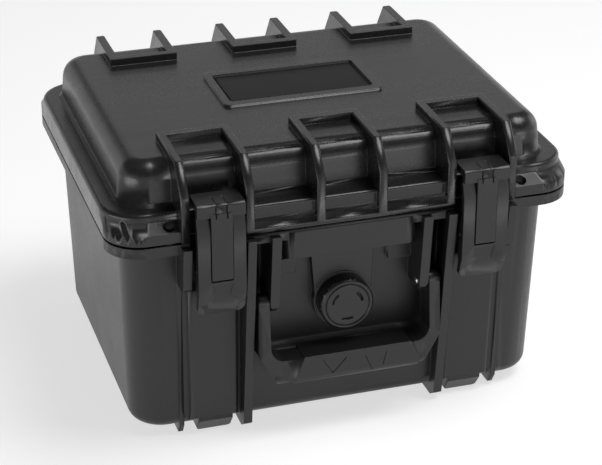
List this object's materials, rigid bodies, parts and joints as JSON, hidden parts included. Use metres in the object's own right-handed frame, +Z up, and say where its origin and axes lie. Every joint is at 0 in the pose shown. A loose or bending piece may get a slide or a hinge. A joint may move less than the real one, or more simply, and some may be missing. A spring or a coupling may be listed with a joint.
{
  "type": "waterproof hard case",
  "caption": "Closed black waterproof hard case with ribbed domed lid, draw latches, bail handle and purge valve.",
  "frame": {"origin": "on the floor under the middle of the closed case", "axes": "+X to the right seen from the front, +Y to the hinge side, +Z up; the front with the handle faces -Y"},
  "size_m": [0.27, 0.2396, 0.1745],
  "materials": {
    "base_plastic": "moulded black, lightly textured",
    "lid_plastic": "moulded black, satin",
    "latch_plastic": "moulded black, satin",
    "handle_plastic": "moulded black, satin",
    "valve_plastic": "moulded black, satin",
    "seal_rubber": "soft, matt",
    "pin_steel": "bright drawn",
    "pin_black": "blackened steel"
  },
  "bodies": {
    "base": {"base_shell": "base_plastic", "valve_body": "valve_plastic", "valve_nut": "valve_plastic", "valve_seal": "seal_rubber", "valve_membrane": "seal_rubber", "hinge_pin_left": "pin_steel", "hinge_pin_centre": "pin_steel", "hinge_pin_right": "pin_steel", "handle_pin_left": "pin_steel", "handle_pin_right": "pin_steel", "latch_lever_pin_left": "pin_black", "latch_lever_pin_right": "pin_black"},
    "lid": {"lid_shell": "lid_plastic", "lid_seal": "seal_rubber"},
    "handle": {"handle": "handle_plastic"},
    "valve_knob": {"valve_knob": "valve_plastic"},
    "lever_left": {"latch_lever_left": "latch_plastic", "latch_hook_pin_left": "pin_black"},
    "hook_left": {"latch_hook_left": "latch_plastic"},
    "lever_right": {"latch_lever_right": "latch_plastic", "latch_hook_pin_right": "pin_black"},
    "hook_right": {"latch_hook_right": "latch_plastic"}
  },
  "joints": [
    {"name": "lid_hinge", "type": "hinge", "parent": "base", "child": "lid", "pos_m": [0, 0.1152, 0.13065], "axis": [-1, 0, 0], "range_deg": [0, 105]},
    {"name": "left_latch_lever", "type": "hinge", "parent": "base", "child": "lever_left", "pos_m": [-0.0762, -0.109, 0.122], "axis": [-1, 0, 0], "range_deg": [0, 24]},
    {"name": "left_latch_hook", "type": "hinge", "parent": "lever_left", "child": "hook_left", "pos_m": [-0.0762, -0.1153, 0.1145], "axis": [1, 0, 0], "range_deg": [0, 70]},
    {"name": "right_latch_lever", "type": "hinge", "parent": "base", "child": "lever_right", "pos_m": [0.0762, -0.109, 0.122], "axis": [-1, 0, 0], "range_deg": [0, 24]},
    {"name": "right_latch_hook", "type": "hinge", "parent": "lever_right", "child": "hook_right", "pos_m": [0.0762, -0.1153, 0.1145], "axis": [1, 0, 0], "range_deg": [0, 70]},
    {"name": "handle_swing", "type": "hinge", "parent": "base", "child": "handle", "pos_m": [0, -0.1044, 0.0845], "axis": [-1, 0, 0], "range_deg": [0, 90]},
    {"name": "valve_turn", "type": "hinge", "parent": "base", "child": "valve_knob", "pos_m": [0, -0.097, 0.0755], "axis": [0, -1, 0], "range_deg": [0, 180]}
  ],
  "couplings": [
    {"joint": "left_latch_hook", "follows": "left_latch_lever", "ratio": 2.9},
    {"joint": "right_latch_hook", "follows": "right_latch_lever", "ratio": 2.9}
  ]
}
